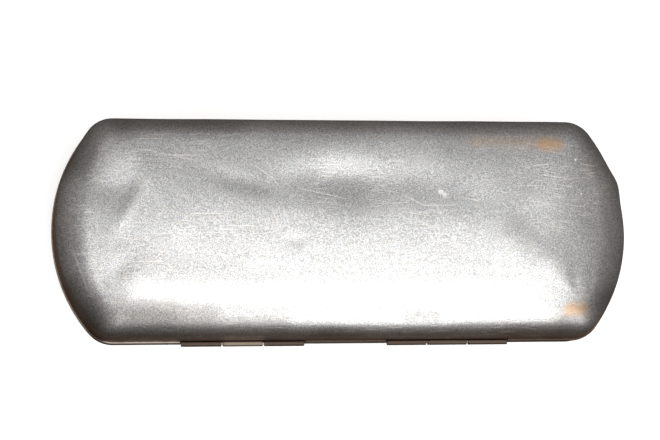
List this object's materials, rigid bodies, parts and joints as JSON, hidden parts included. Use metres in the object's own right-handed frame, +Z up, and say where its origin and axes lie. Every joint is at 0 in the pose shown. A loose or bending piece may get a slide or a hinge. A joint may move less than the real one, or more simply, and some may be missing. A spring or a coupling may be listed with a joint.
{
  "type": "telescope carry case",
  "caption": "Long shallow pressed-aluminium case with bowed ends and rounded edges, hinged along one long side, with a fitted velvet trough for a closed pocket telescope.",
  "frame": {"origin": "centre of the flat panel that the closed case rests on", "axes": "+X along the case, +Y from the hinged side towards the opening side, +Z up out of the base towards the lid"},
  "size_m": [0.1658, 0.0653, 0.0317],
  "materials": {
    "lid_aluminium": "satin, worn, scratched and lightly tarnished",
    "base_aluminium": "satin, worn and tarnished",
    "pin_steel": "drawn wire, dulled",
    "spring_brass": "rolled strip, dulled",
    "rivet_aluminium": "headed, satin",
    "board": "grey-brown pasteboard",
    "bed_wood": "plain sawn softwood",
    "velvet": "short-pile velvet, worn",
    "wadding": "loose cotton wadding"
  },
  "bodies": {
    "base": {"base_shell": "base_aluminium", "hinge_pin_left": "pin_steel", "hinge_pin_right": "pin_steel", "snap_strip": "spring_brass", "snap_strip_rivets": "rivet_aluminium", "bed_board": "board", "bed_rail_near": "bed_wood", "bed_rail_far": "bed_wood", "bed_end_block_left": "bed_wood", "bed_end_block_right": "bed_wood", "bed_velvet": "velvet"},
    "lid": {"lid_shell": "lid_aluminium", "lid_lining_card": "board", "lid_lining_wadding": "wadding", "lid_lining_velvet": "velvet"}
  },
  "joints": [
    {"name": "lid_hinge", "type": "hinge", "parent": "base", "child": "lid", "pos_m": [0, -0.03219, 0.0151], "axis": [1, 0, 0], "range_deg": [0, 175]}
  ]
}
